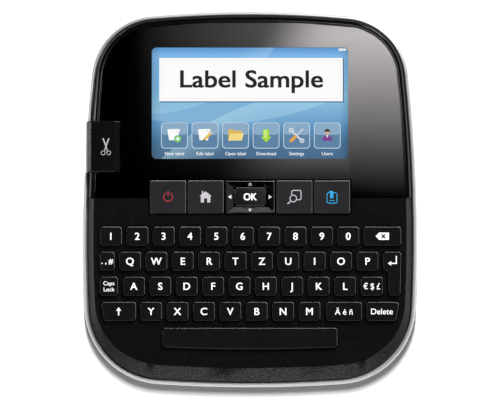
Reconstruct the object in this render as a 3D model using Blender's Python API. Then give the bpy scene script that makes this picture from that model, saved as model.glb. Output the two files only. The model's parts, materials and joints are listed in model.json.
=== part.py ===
"""A desktop label maker: a wedge-shaped case with a tilted face that holds a touch screen and a keyboard.

Metres, +Z up. The case stands on the desk plane z = 0 with its keyboard end towards -Y.
Everything on the face is drawn in face coordinates: X to the right, Y up the face, Z out of it,
under the empty face_frame, which carries the tilt. The print mechanism, the cassette and the door
are square to the desk and drawn in desk coordinates.
"""

from math import atan2, cos, pi, radians, sin, tan

import bmesh
import bpy
from mathutils import Matrix, Vector

MM = 0.001

# ---- driving dimensions, in millimetres ----
HALF_WIDTH = 80.8
TOP_Y = 90.9
BOTTOM_Y = -91.1
SIDE_RADIUS = 760.0
SIDE_CENTRE_Y = -18.0
TOP_RADIUS = 530.0
BOTTOM_RADIUS = 650.0
TOP_CORNER_RADIUS = 31.8
BOTTOM_CORNER_RADIUS = 38.0
SIDE_STEPS = 8
CORNER_ARC_STEPS = 14

TILT = radians(9.0)
FACE_HEIGHT = 39.8
FACE_SHIFT_Y = -1.24
GAP = 0.3

BAND_TOP = -3.7
BAND_BOTTOM = -13.0
BAND_WIDTH = 2.3
COVER_INSET = 2.6
COVER_WALL = 2.0
SKIRT_BOTTOM = -6.0
FASCIA_THICK = 2.0
RIM_INSET = 5.3
RIM_LOW_Y = -82.0
PANEL_INSET = 5.6
PANEL_TOP = 0.1
PANEL_THICK = 1.2
SEAM_Y = 0.0

SCREEN_HALF_WIDTH = 47.4
SCREEN_LOW_Y = 18.9
SCREEN_HIGH_Y = 72.8
SCREEN_CORNER = 2.2
MODULE_BORDER = 3.6
MODULE_TOP = -1.4
MODULE_BOTTOM = -6.5

BOARD_HALF_WIDTH = 64.0
BOARD_LOW_Y, BOARD_HIGH_Y = -73.0, 11.0
BOARD_LOW_Z, BOARD_HIGH_Z = -9.4, -7.8
DOME_HALF_WIDTH = 2.6

STRIP_HALF_WIDTH = 48.9
STRIP_LOW_Y = -8.1
STRIP_HIGH_Y = 9.0
STRIP_OVERLAP = 5.0

KEY_WIDTH = 10.65
KEY_HEIGHT = 9.2
KEY_PITCH = 12.7
KEY_CORNER = 1.3
KEY_TOP = 1.2
KEY_BOTTOM = -3.3
KEY_BEVEL = 0.35
WINDOW_GAP = 0.35
KEY_CORNER_STEPS = 4
WINDOW_CORNER_STEPS = 3
ROW_Y = (-18.5, -30.55, -42.6, -54.7)
DIGIT_FIRST_X = -67.0
LETTER_ROWS = (
    ("QWERTZUIOP", -57.8, ROW_Y[1]),
    ("ASDFGHJKL", -55.9, ROW_Y[2]),
    ("YXCVBNM", -47.6, ROW_Y[3]),
)

CUTTER_LOW_Y = 12.5
CUTTER_HIGH_Y = 37.1
CUTTER_NOTCH_X = -62.5

HOUSING_TOP = -13.3
HOUSING_INSET = 0.5
WALL = 2.2
FLOOR_LOW = 1.4
FLOOR_HIGH = 3.6
BASE_SHIFT_Y = 2.0
FOOT_HEIGHT = 1.1
FOOT_END_Y = 52.0
FOOT_OUTER_INSET, FOOT_INNER_INSET = 13.5, 20.5

DOOR_LEFT_X, DOOR_RIGHT_X = -49.6, 51.6
DOOR_FRONT_Y = 20.4
DOOR_THICK = 2.0
HINGE_Y, HINGE_Z = 75.0, 3.6
HINGE_BARREL_RADIUS = 1.1
HINGE_PIN_RADIUS = 0.9
HINGE_HOLE_RADIUS = 1.25
EAR_LENGTH = 4.2
PIN_REACH, HOLE_DEPTH = 2.8, 3.2
BAY_CLEARANCE = 0.4
CASSETTE_X, CASSETTE_Y, CASSETTE_TOP = (-46, 8), (26, 73), 30.6
BATTERY_X, BATTERY_Y, BATTERY_TOP = (12, 49), (27, 63), 22.0

DC_X, DC_Z, DC_RADIUS = 44, 18, 3.5
USB_X, USB_Z = (22, 30.4), (16.4, 19.6)
REAR_WALL_Y = (79, 104)

TAPE_Y = 38.0
SLOT_LOW_Z, SLOT_HIGH_Z = 6.0, 29.9
SLOT_WIDTH = 5.0
ROLLER_X, ROLLER_RADIUS = -58.0, 4.5
ROLLER_Y = TAPE_Y - 0.5 - ROLLER_RADIUS
GEAR_MODULE = 0.5
GEAR_TEETH, PINION_TEETH = 36, 12
GEAR_LOW_Z, GEAR_HIGH_Z = 31.0, 34.0
PINION_Y = ROLLER_Y - GEAR_MODULE * (GEAR_TEETH + PINION_TEETH) / 2
MOTOR_RADIUS = 7.0
BLADE_X = -70.0
BLADE_THICK = 0.8
BLADE_PIVOT_Y, BLADE_PIVOT_Z = 31.0, 36.0
POST_LEFT_X, POST_RIGHT_X = -73.2, -71.0
POST_HALF_WIDTH = 3.0


# ---- the scene, the face frame and the materials ----
def clear_scene():
    for old in list(bpy.data.objects):
        bpy.data.objects.remove(old)


def make_material(name, color, roughness, metallic=0.0, alpha=1.0):
    material = bpy.data.materials.new(name)
    material.use_nodes = True
    shader = material.node_tree.nodes["Principled BSDF"]
    shader.inputs["Base Color"].default_value = (*color, 1.0)
    shader.inputs["Roughness"].default_value = roughness
    shader.inputs["Metallic"].default_value = metallic
    shader.inputs["Alpha"].default_value = alpha
    return material


def make_face_frame():
    frame = bpy.data.objects.new("face_frame", None)
    frame.location = Vector((0.0, FACE_SHIFT_Y, FACE_HEIGHT)) * MM
    frame.rotation_euler = (TILT, 0.0, 0.0)
    bpy.context.scene.collection.objects.link(frame)
    return frame


clear_scene()
face_frame = make_face_frame()
case_black = make_material("case_black", (0.012, 0.012, 0.013), 0.45)
key_black = make_material("key_black", (0.014, 0.014, 0.015), 0.5)
gloss_black = make_material("gloss_black", (0.004, 0.004, 0.005), 0.06)
silver_paint = make_material("silver_paint", (0.55, 0.56, 0.57), 0.35, metallic=0.6)
screen_glass = make_material("screen_glass", (0.10, 0.30, 0.60), 0.1)
soft_rubber = make_material("soft_rubber", (0.05, 0.05, 0.055), 0.8)
board_green = make_material("board_green", (0.02, 0.12, 0.05), 0.5)
steel = make_material("steel", (0.55, 0.55, 0.56), 0.3, metallic=1.0)
gear_white = make_material("gear_white", (0.75, 0.74, 0.70), 0.45)
cassette_grey = make_material("cassette_grey", (0.35, 0.36, 0.38), 0.5)
battery_blue = make_material("battery_blue", (0.03, 0.08, 0.25), 0.4)


# ---- outlines ----
def arc(centre, radius, start, end, steps):
    """Points on an arc from angle start towards end, leaving out the last one."""
    angles = [start + (end - start) * step / steps for step in range(steps)]
    return [Vector((centre[0] + radius * cos(a), centre[1] + radius * sin(a))) for a in angles]


def circle_crossing(first, first_radius, second, second_radius):
    """The crossing of two circles with the larger x."""
    between = second - first
    apart = between.length
    along = (apart**2 + first_radius**2 - second_radius**2) / (2 * apart)
    across = (first_radius**2 - along**2) ** 0.5
    foot = first + between * (along / apart)
    side = Vector((-between.y, between.x)) * (across / apart)
    return max(foot + side, foot - side, key=lambda point: point.x)


def outline(inset):
    """The case outline moved inwards: four shallow arcs joined by four tangent corner arcs."""
    right = Vector((HALF_WIDTH - SIDE_RADIUS, SIDE_CENTRE_Y))
    top = Vector((0.0, TOP_Y - TOP_RADIUS))
    bottom = Vector((0.0, BOTTOM_Y + BOTTOM_RADIUS))
    top_corner = circle_crossing(right, SIDE_RADIUS - TOP_CORNER_RADIUS, top, TOP_RADIUS - TOP_CORNER_RADIUS)
    bottom_corner = circle_crossing(
        right, SIDE_RADIUS - BOTTOM_CORNER_RADIUS, bottom, BOTTOM_RADIUS - BOTTOM_CORNER_RADIUS
    )
    side_low = atan2(*(bottom_corner - right).yx)
    side_high = atan2(*(top_corner - right).yx)
    top_start = atan2(*(top_corner - top).yx)
    bottom_end = atan2(*(bottom_corner - bottom).yx)
    half = arc(right, SIDE_RADIUS - inset, side_low, side_high, SIDE_STEPS)
    half += arc(top_corner, TOP_CORNER_RADIUS - inset, side_high, top_start, CORNER_ARC_STEPS)
    half += arc(top, TOP_RADIUS - inset, top_start, pi / 2, SIDE_STEPS // 2)
    under = arc(bottom, BOTTOM_RADIUS - inset, -pi / 2, bottom_end, SIDE_STEPS // 2)
    under += arc(bottom_corner, BOTTOM_CORNER_RADIUS - inset, bottom_end, side_low, CORNER_ARC_STEPS)
    right_half = under + half
    peak = Vector((0.0, TOP_Y - inset))
    left_half = [Vector((-point.x, point.y)) for point in reversed(right_half[1:])]
    return right_half + [peak] + left_half


def moved_out(corners, distance):
    """A polygon's corners, each side moved out by distance; the corners run anticlockwise."""
    moved = []
    for i, corner in enumerate(corners):
        before = (corner - corners[i - 1]).normalized()
        after = (corners[(i + 1) % len(corners)] - corner).normalized()
        out_before = Vector((before.y, -before.x))
        out_after = Vector((after.y, -after.x))
        middle = (out_before + out_after).normalized()
        moved.append(corner + middle * (distance / middle.dot(out_before)))
    return moved


def rounded(corners, radius, steps=KEY_CORNER_STEPS):
    """A polygon with its corners turned into arcs. Nearly straight corners stay as they are."""
    points = []
    for i, corner in enumerate(corners):
        back = (corners[i - 1] - corner).normalized()
        ahead = (corners[(i + 1) % len(corners)] - corner).normalized()
        half = back.angle(ahead) / 2
        if half > radians(80):
            points.append(corner)
            continue
        centre = corner + (back + ahead).normalized() * (radius / sin(half))
        start = corner + back * (radius / tan(half)) - centre
        end = corner + ahead * (radius / tan(half)) - centre
        first = atan2(start.y, start.x)
        turn = (atan2(end.y, end.x) - first + pi) % (2 * pi) - pi
        for step in range(steps + 1):
            angle = first + turn * step / steps
            points.append(centre + Vector((cos(angle), sin(angle))) * radius)
    return points


def rectangle(low_x, high_x, low_y, high_y):
    return [Vector(p) for p in ((low_x, low_y), (high_x, low_y), (high_x, high_y), (low_x, high_y))]


def circle(centre_x, centre_y, radius, steps=24):
    return arc((centre_x, centre_y), radius, 0.0, 2 * pi, steps)


# ---- solids ----
def level(points, z):
    return [Vector((point.x, point.y, z)) for point in points]


def loft_into(mesh, rings, closed_loop=False):
    """Bridges each ring to the next. The ends are filled, or joined to each other in a closed loop."""
    verts = [[mesh.verts.new(point * MM) for point in ring] for ring in rings]
    pairs = list(zip(verts, verts[1:]))
    if closed_loop:
        pairs.append((verts[-1], verts[0]))
    for low, high in pairs:
        for i in range(len(low)):
            j = (i + 1) % len(low)
            mesh.faces.new((low[i], low[j], high[j], high[i]))
    if not closed_loop:
        mesh.faces.new(list(reversed(verts[0])))
        mesh.faces.new(verts[-1])


def finish_object(name, mesh, material, parent, location):
    bmesh.ops.recalc_face_normals(mesh, faces=mesh.faces)
    data = bpy.data.meshes.new(name)
    mesh.to_mesh(data)
    mesh.free()
    data.shade_smooth()
    data.set_sharp_from_angle(angle=radians(30))
    made = bpy.data.objects.new(name, data)
    made.parent = parent
    made.location = Vector(location) * MM
    bpy.context.scene.collection.objects.link(made)
    if material:
        data.materials.append(material)
    return made


def solid(name, ring_sets, material, parent=None, location=(0, 0, 0), closed_loop=False):
    """One object from one or more lofts, each given as its list of rings."""
    mesh = bmesh.new()
    for rings in ring_sets:
        loft_into(mesh, rings, closed_loop)
    return finish_object(name, mesh, material, parent, location)


def prism(points, low, high):
    return [level(points, low), level(points, high)]


def along_x(points, low_x, high_x):
    """The rings of a prism that runs along X; each point gives (y, z)."""
    return [[Vector((x, point.x, point.y)) for point in points] for x in (low_x, high_x)]


def along_y(points, low_y, high_y):
    """The rings of a prism that runs along Y; each point gives (x, z)."""
    return [[Vector((point.x, y, point.y)) for point in points] for y in (high_y, low_y)]


def combine(target, kind, name, ring_sets):
    """Joins a helper solid to the target, or cuts it away. The helper is drawn in the target's space."""
    helper = solid(name, ring_sets, None, target.parent, target.location / MM)
    helper.hide_render = True
    helper.display_type = "WIRE"
    modifier = target.modifiers.new(name, "BOOLEAN")
    modifier.operation = kind
    modifier.solver = "EXACT"
    modifier.object = helper


def cut(target, name, ring_sets):
    combine(target, "DIFFERENCE", name, ring_sets)


def join(target, name, ring_sets):
    combine(target, "UNION", name, ring_sets)


# ---- the keys: polygons in face coordinates ----
def key_box(centre_x, centre_y, width=KEY_WIDTH, height=KEY_HEIGHT):
    half_x, half_y = width / 2, height / 2
    return rectangle(centre_x - half_x, centre_x + half_x, centre_y - half_y, centre_y + half_y)


def row_edges(centre_y):
    return centre_y - KEY_HEIGHT / 2, centre_y + KEY_HEIGHT / 2


def enter_corners():
    low_y = row_edges(ROW_Y[2])[0]
    step_y, high_y = row_edges(ROW_Y[1])
    points = ((66.6, low_y), (72.4, low_y), (72.9, high_y), (64.0, high_y), (64.0, step_y), (66.6, step_y))
    return [Vector(point) for point in points]


def shift_corners():
    low_y, high_y = row_edges(ROW_Y[3])
    return [Vector(point) for point in ((-70.2, low_y), (-54.8, low_y), (-54.8, high_y), (-71.8, high_y))]


def delete_corners():
    low_y, high_y = row_edges(ROW_Y[3])
    return [Vector(point) for point in ((55.95, low_y), (70.3, low_y), (71.85, high_y), (55.95, high_y))]


def space_corners():
    half_width, high_y, low_y, bow = 42.1, -62.6, -71.9, 1.0
    steps = 8
    spots = [2 * step / steps - 1 for step in range(steps + 1)]
    bottom = [Vector((half_width * spot, low_y - bow * (1 - spot**2))) for spot in spots]
    return bottom + [Vector((half_width, high_y)), Vector((-half_width, high_y))]


def digit_boxes():
    return [key_box(DIGIT_FIRST_X + KEY_PITCH * i, ROW_Y[0]) for i in range(10)]


def letter_keys():
    keys = {}
    for letters, first_x, centre_y in LETTER_ROWS:
        for i, letter in enumerate(letters):
            keys[f"key_{letter.lower()}"] = key_box(first_x + KEY_PITCH * i, centre_y)
    return keys


SPECIAL_KEYS = {
    "key_backspace": key_box(63.7, ROW_Y[0], 18.3),
    "key_punctuation": key_box(-68.75, ROW_Y[1], 7.3),
    "key_enter": enter_corners(),
    "key_caps_lock": key_box(-67.9, ROW_Y[2], 8.8),
    "key_currency": key_box(58.6, ROW_Y[2], 10.75),
    "key_shift": shift_corners(),
    "key_accents": key_box(45.2, ROW_Y[3], 17.4),
    "key_delete": delete_corners(),
    "key_space": space_corners(),
}
LETTER_KEYS = letter_keys()
FUNCTION_KEYS = {
    "power_button": rectangle(-48.2, -30.8, -7.5, 8.4),
    "home_button": rectangle(-30.1, -12.7, -7.5, 8.4),
    "preview_button": rectangle(12.7, 30.1, -7.5, 8.4),
    "print_button": rectangle(30.8, 48.2, -7.5, 8.4),
}
NAV_PAD = rectangle(-12.0, 12.0, -7.5, 8.4)
OK_BUTTON = rectangle(-7.6, 7.6, -4.0, 5.0)


def middle_of(corners):
    xs = [corner.x for corner in corners]
    ys = [corner.y for corner in corners]
    return Vector(((min(xs) + max(xs)) / 2, (min(ys) + max(ys)) / 2))


def cap_rings(corners, top, corner_radius=KEY_CORNER, bevel=KEY_BEVEL):
    """A key cap: straight sides and a small bevel round its top."""
    side = rounded(corners, corner_radius)
    crown = rounded(moved_out(corners, -bevel), corner_radius - bevel / 2)
    return [level(side, KEY_BOTTOM), level(side, top - bevel), level(crown, top)]


def make_key(name, corners, top=KEY_TOP, corner_radius=KEY_CORNER, material=None):
    centre = middle_of(corners)
    local = [corner - centre for corner in corners]
    rings = cap_rings(local, top, corner_radius)
    solid(name, [rings], material or key_black, face_frame, (centre.x, centre.y, 0))


def make_number_keys():
    """Ten caps on one flexible web, which runs under the fascia."""
    caps = [cap_rings(box, KEY_TOP) for box in digit_boxes()]
    end_x = DIGIT_FIRST_X + 9 * KEY_PITCH
    web_margin, web_half_height = 4.0, 2.2
    low_x, high_x = DIGIT_FIRST_X - web_margin, end_x + web_margin
    web = rectangle(low_x, high_x, ROW_Y[0] - web_half_height, ROW_Y[0] + web_half_height)
    strip = solid("number_keys", [prism(web, KEY_BOTTOM - 0.2, -2.4)], key_black, face_frame)
    join(strip, "number_caps", caps)


def make_nav_pad():
    """A ring whose four facets slope down towards the button in its middle."""
    centre = middle_of(NAV_PAD)
    outer = [corner - centre for corner in NAV_PAD]
    hole = [corner - centre for corner in moved_out(OK_BUTTON, WINDOW_GAP)]
    outer_top, inner_top, rim = 0.9, -0.7, 0.5
    rings = [
        level(outer, KEY_BOTTOM),
        level(outer, outer_top - rim),
        level(moved_out(outer, -rim), outer_top),
        level(hole, inner_top),
        level(hole, KEY_BOTTOM),
    ]
    solid("nav_pad", [rings], gloss_black, face_frame, (centre.x, centre.y, 0), closed_loop=True)


# ---- the covers ----
def all_windows():
    return digit_boxes() + list(LETTER_KEYS.values()) + list(SPECIAL_KEYS.values())


def window_prisms(low, high):
    outlines = [moved_out(corners, WINDOW_GAP) for corners in all_windows()]
    return [prism(rounded(corners, KEY_CORNER, WINDOW_CORNER_STEPS), low, high) for corners in outlines]


def box_rings(low, high):
    return prism(rectangle(low[0], high[0], low[1], high[1]), low[2], high[2])


def strip_window(low_y, high_y):
    """The opening for the row of function buttons, which spans the seam between the two covers."""
    return box_rings((-STRIP_HALF_WIDTH, low_y, -10), (STRIP_HALF_WIDTH, high_y, 10))


def keep_below(target, y):
    cut(target, target.name + "_half", [box_rings((-120, y, -60), (120, 160, 60))])


def keep_above(target, y):
    cut(target, target.name + "_half", [box_rings((-120, -160, -60), (120, y, 60))])


def drop_ends(points, low_y):
    """Raises the lower half of an outline so that its lowest point is at low_y."""
    lowest = min(point.y for point in points)
    return [Vector((p.x, p.y * low_y / lowest if p.y < 0 else p.y)) for p in points]


def make_keyboard_fascia():
    """The lower front cover: a flat grained plate with a wide bevel along its lower end."""
    bevel_edge = drop_ends(outline(RIM_INSET), RIM_LOW_Y)
    under_edge = drop_ends(outline(COVER_INSET + COVER_WALL + 1.0), RIM_LOW_Y + 1.2)
    rings = [
        level(under_edge, -FASCIA_THICK),
        level(outline(COVER_INSET + COVER_WALL), SKIRT_BOTTOM),
        level(outline(COVER_INSET), SKIRT_BOTTOM),
        level(outline(COVER_INSET), -3.4),
        level(outline(COVER_INSET + 0.4), -2.9),
        level(bevel_edge, 0.0),
    ]
    fascia = solid("keyboard_fascia", [rings], case_black, face_frame)
    keep_below(fascia, SEAM_Y - GAP / 2)
    cut(fascia, "key_windows", window_prisms(-10, 10))
    cut(fascia, "strip_window_low", [strip_window(STRIP_LOW_Y, STRIP_OVERLAP)])


def cutter_notch(name, target):
    cut(target, name, [box_rings((-95, CUTTER_LOW_Y - 0.4, -16), (CUTTER_NOTCH_X, CUTTER_HIGH_Y + 0.4, 12))])


def make_upper_bezel():
    """The upper front cover: a rounded rim round a recess that holds the glossy panel."""
    recess = PANEL_TOP - PANEL_THICK - GAP
    rings = [
        level(outline(COVER_INSET + COVER_WALL + 0.6), recess - 1.5),
        level(outline(COVER_INSET + COVER_WALL), SKIRT_BOTTOM),
        level(outline(COVER_INSET), SKIRT_BOTTOM),
        level(outline(COVER_INSET), -2.2),
        level(outline(COVER_INSET + 0.35), -0.9),
        level(outline(COVER_INSET + 1.1), -0.1),
        level(outline(COVER_INSET + 2.0), 0.2),
        level(outline(PANEL_INSET - GAP), 0.1),
        level(outline(PANEL_INSET - GAP), recess),
    ]
    bezel = solid("upper_bezel", [rings], gloss_black, face_frame)
    keep_above(bezel, SEAM_Y + GAP / 2)
    border = MODULE_BORDER + GAP
    low = (-SCREEN_HALF_WIDTH - border, SCREEN_LOW_Y - border, -10)
    high = (SCREEN_HALF_WIDTH + border, SCREEN_HIGH_Y + border, 10)
    cut(bezel, "module_window", [box_rings(low, high)])
    cut(bezel, "strip_window_high", [strip_window(-STRIP_OVERLAP, STRIP_HIGH_Y)])
    cutter_notch("bezel_notch", bezel)


def make_glossy_panel():
    """The clear-coated black plate round the display, flush with the rim."""
    rings = prism(outline(PANEL_INSET), PANEL_TOP - PANEL_THICK, PANEL_TOP - 0.15)
    rings.append(level(outline(PANEL_INSET + 0.15), PANEL_TOP))
    panel = solid("glossy_panel", [rings], gloss_black, face_frame)
    keep_above(panel, SEAM_Y + GAP / 2)
    screen = rectangle(-SCREEN_HALF_WIDTH, SCREEN_HALF_WIDTH, SCREEN_LOW_Y, SCREEN_HIGH_Y)
    cut(panel, "screen_window", [prism(rounded(screen, SCREEN_CORNER, 5), -10, 10)])
    cut(panel, "strip_window_panel", [strip_window(-STRIP_OVERLAP, STRIP_HIGH_Y)])
    cutter_notch("panel_notch", panel)


def make_silver_band():
    """The silver trim round the case: a hoop with rounded shoulders, under the face's black rim."""
    profile = (
        (BAND_WIDTH, BAND_TOP),
        (1.2, BAND_TOP - 0.1),
        (0.45, BAND_TOP - 0.7),
        (0.0, BAND_TOP - 2.4),
        (0.0, BAND_BOTTOM + 2.0),
        (0.5, BAND_BOTTOM + 0.4),
        (1.1, BAND_BOTTOM),
        (BAND_WIDTH, BAND_BOTTOM),
    )
    rings = [level(outline(inset), z) for inset, z in profile]
    band = solid("silver_band", [rings], silver_paint, face_frame, closed_loop=True)
    cutter_notch("band_notch", band)


def make_touch_screen():
    """The display module, whose border lies under the panel."""
    screen = rectangle(-SCREEN_HALF_WIDTH, SCREEN_HALF_WIDTH, SCREEN_LOW_Y, SCREEN_HIGH_Y)
    corners = moved_out(screen, MODULE_BORDER)
    centre = middle_of(corners)
    local = rounded([corner - centre for corner in corners], 1.5)
    rings = prism(local, MODULE_BOTTOM, MODULE_TOP)
    solid("touch_screen", [rings], screen_glass, face_frame, (centre.x, centre.y, 0))


def make_keypad_mat():
    """A silicone sheet with one dome under each key."""
    sheet_low, sheet_high, dome_top = -7.4, -6.2, -4.6
    mat = solid("keypad_mat", [prism(outline(8.5), sheet_low, sheet_high)], soft_rubber, face_frame)
    keep_below(mat, BOARD_HIGH_Y + 0.5)
    pressed = all_windows() + list(FUNCTION_KEYS.values()) + [OK_BUTTON]
    domes = []
    for corners in pressed:
        spot = middle_of(corners)
        foot = key_box(spot.x, spot.y, 2 * DOME_HALF_WIDTH, 2 * DOME_HALF_WIDTH)
        crown = level(moved_out(foot, -0.8), dome_top)
        domes.append([level(foot, sheet_low + 0.4), level(foot, sheet_high + 0.2), crown])
    join(mat, "domes", domes)


def make_main_board():
    """The circuit board under the keypad mat."""
    board = rounded(rectangle(-BOARD_HALF_WIDTH, BOARD_HALF_WIDTH, BOARD_LOW_Y, BOARD_HIGH_Y), 3.0)
    solid("main_board", [prism(board, BOARD_LOW_Z, BOARD_HIGH_Z)], board_green, face_frame)


# ---- the cutter ----
def make_cutter_button():
    """A hooked cap: a plate on the face, a flange that closes the side, and a stem over the blade's arm."""
    section = ((-62.9, -1.5), (-62.9, -0.1), (-65.3, 1.2), (-76.6, 1.1), (-78.2, 0.3), (-79.0, -1.4))
    section += ((-79.4, -5.5), (-79.4, -10.4), (-77.2, -10.4), (-76.9, -2.8), (-75.4, -1.5))
    points = [Vector(point) for point in reversed(section)]
    button = solid("cutter_button", [along_y(points, CUTTER_LOW_Y, CUTTER_HIGH_Y)], case_black, face_frame)
    join(button, "cutter_stem", [box_rings((-72, 16.5, -4.8), (-68, 20.5, -1.0))])


def make_cutter_blade():
    """A bell crank on its pin: the arm lies under the button's stem, the blade hangs beside the tape."""
    arm = ((14.5, 34.8), (27.5, 34.2), (28.0, 30.0))
    edge = ((29.5, 6.0), (34.2, 5.5), (37.1, 30.0))
    top = ((35.5, 37.4), (14.5, 37.4))
    local = [Vector((y - BLADE_PIVOT_Y, z - BLADE_PIVOT_Z)) for y, z in arm + edge + top]
    rings = along_x(local, -BLADE_THICK / 2, BLADE_THICK / 2)
    blade = solid("cutter_blade", [rings], steel, None, (BLADE_X, BLADE_PIVOT_Y, BLADE_PIVOT_Z))
    join(blade, "blade_pin", [along_x(circle(0, 0, 1.2, 16), -2.8, 1.6)])


# ---- the print mechanism ----
def gear_outline(teeth, backlash=0.12):
    """Straight-flanked teeth on a pitch circle of GEAR_MODULE * teeth."""
    pitch_radius = GEAR_MODULE * teeth / 2
    tip, root = pitch_radius + 0.8 * GEAR_MODULE, pitch_radius - 1.3 * GEAR_MODULE
    quarter = pi / (2 * teeth) - backlash / pitch_radius / 2
    lean = 0.36 * GEAR_MODULE / pitch_radius
    points = []
    for tooth in range(teeth):
        middle = 2 * pi * tooth / teeth
        rising = ((root, -quarter - lean), (tip, -quarter + lean))
        falling = ((tip, quarter - lean), (root, quarter + lean))
        for radius, offset in rising + falling:
            points.append(Vector((radius * cos(middle + offset), radius * sin(middle + offset))))
    return points


def turned(points, angle):
    turn = Matrix.Rotation(angle, 2)
    return [turn @ point for point in points]


def make_platen_roller():
    """The rubber roller on its shaft, with the driven gear at the upper end."""
    shaft_radius = 1.2
    shaft = circle(0, 0, shaft_radius, 16)
    rings = prism(shaft, 4.2, GEAR_HIGH_Z + 0.6)
    roller = solid("platen_roller", [rings], soft_rubber, None, (ROLLER_X, ROLLER_Y, 0))
    join(roller, "roller_tyre", [prism(circle(0, 0, ROLLER_RADIUS, 28), 6.0, 28.8)])
    toothed = turned(gear_outline(GEAR_TEETH), -pi / 2)
    join(roller, "roller_gear", [prism(toothed, GEAR_LOW_Z, GEAR_HIGH_Z)])


def make_motor_pinion():
    """The motor's pinion and the shaft end that carries it."""
    toothed = turned(gear_outline(PINION_TEETH), pi / 2 + pi / PINION_TEETH)
    rings = prism(toothed, GEAR_LOW_Z, GEAR_HIGH_Z)
    pinion = solid("motor_pinion", [rings], gear_white, None, (ROLLER_X, PINION_Y, 0))
    join(pinion, "motor_shaft", [prism(circle(0, 0, 1.0, 12), 28.4, GEAR_HIGH_Z + 0.5)])


def make_drive_motor():
    rings = [
        level(circle(0, 0, MOTOR_RADIUS - 0.8, 28), 4.2),
        level(circle(0, 0, MOTOR_RADIUS, 28), 5.0),
        level(circle(0, 0, MOTOR_RADIUS, 28), 26.8),
        level(circle(0, 0, MOTOR_RADIUS - 0.6, 28), 27.4),
        level(circle(0, 0, 2.6, 28), 27.4),
        level(circle(0, 0, 2.6, 28), 28.0),
    ]
    solid("drive_motor", [rings], steel, None, (ROLLER_X, PINION_Y, 0))


def make_print_head():
    """The head's plate and the bracket whose two flanges carry the roller's shaft."""
    low_x, high_x = ROLLER_X - 7, ROLLER_X + 7
    plate_y = TAPE_Y + 0.6
    flanges = ((4.0, 5.3), (29.4, 30.6))
    plate = box_rings((low_x, plate_y, flanges[0][0]), (high_x, plate_y + 2.6, flanges[1][1]))
    head = solid("print_head", [plate], steel)
    front_y = ROLLER_Y - 3.0
    arms = [box_rings((low_x, front_y, low), (high_x, plate_y + 1.0, high)) for low, high in flanges]
    join(head, "bracket_flanges", arms)
    cut(head, "shaft_holes", [prism(circle(ROLLER_X, ROLLER_Y, 1.55, 16), -5, 40)])


# ---- cassette, battery, door and case ----
def make_tape_cassette():
    corners = rectangle(*CASSETTE_X, *CASSETTE_Y)
    rings = pillow_rings(corners, FLOOR_HIGH + BAY_CLEARANCE, CASSETTE_TOP, 3.0)
    solid("tape_cassette", [rings], cassette_grey)


def pillow_rings(corners, low, high, radius, bevel=0.8):
    """A block with rounded corners and a bevel round its top and its bottom."""
    side = rounded(corners, radius)
    trimmed = rounded(moved_out(corners, -bevel), radius - bevel / 2)
    return [level(trimmed, low), level(side, low + bevel), level(side, high - bevel), level(trimmed, high)]


def make_battery_pack():
    corners = rectangle(*BATTERY_X, *BATTERY_Y)
    rings = pillow_rings(corners, FLOOR_HIGH + BAY_CLEARANCE, BATTERY_TOP, 2.5)
    solid("battery_pack", [rings], battery_blue)


def make_cassette_door():
    """The door under both bays: a plate with its hinge barrel and two stub pins along the rear edge."""
    centre_x = (DOOR_LEFT_X + DOOR_RIGHT_X) / 2
    half_width = (DOOR_RIGHT_X - DOOR_LEFT_X) / 2
    low_z = FLOOR_LOW - HINGE_Z
    plate = rectangle(-half_width, half_width, DOOR_FRONT_Y - HINGE_Y, -0.5)
    edge = 0.3
    under = [level(moved_out(plate, -edge), low_z), level(plate, low_z + edge)]
    rings = under + [level(plate, low_z + DOOR_THICK)]
    door = solid("cassette_door", [rings], case_black, None, (centre_x, HINGE_Y, HINGE_Z))
    barrel_half, pin_half = half_width - 0.4, half_width + PIN_REACH
    barrel = along_x(circle(0, 0, HINGE_BARREL_RADIUS, 16), -barrel_half, barrel_half)
    pin = along_x(circle(0, 0, HINGE_PIN_RADIUS, 16), -pin_half, pin_half)
    join(door, "hinge_barrel", [barrel])
    join(door, "hinge_pins", [pin])


def base_ring(inset, z):
    """The case outline laid level with the desk."""
    shift = FACE_SHIFT_Y + BASE_SHIFT_Y
    return [Vector((p.x, shift + p.y * cos(TILT), z)) for p in outline(inset)]


def tilted_ring(inset, z):
    """The case outline in the plane of the face, at depth z."""
    points = outline(inset)
    ys = [FACE_SHIFT_Y + p.y * cos(TILT) - z * sin(TILT) for p in points]
    zs = [FACE_HEIGHT + p.y * sin(TILT) + z * cos(TILT) for p in points]
    return [Vector((p.x, y, height)) for p, y, height in zip(points, ys, zs)]


def between_rings(base_inset, tilted_inset, base_z, share, bulge):
    """A ring part of the way up the wall, pushed out a little from the straight line."""
    inset = base_inset + (tilted_inset - base_inset) * share - bulge
    low = base_ring(inset, base_z)
    high = tilted_ring(inset, HOUSING_TOP)
    return [a.lerp(b, share) for a, b in zip(low, high)]


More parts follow.
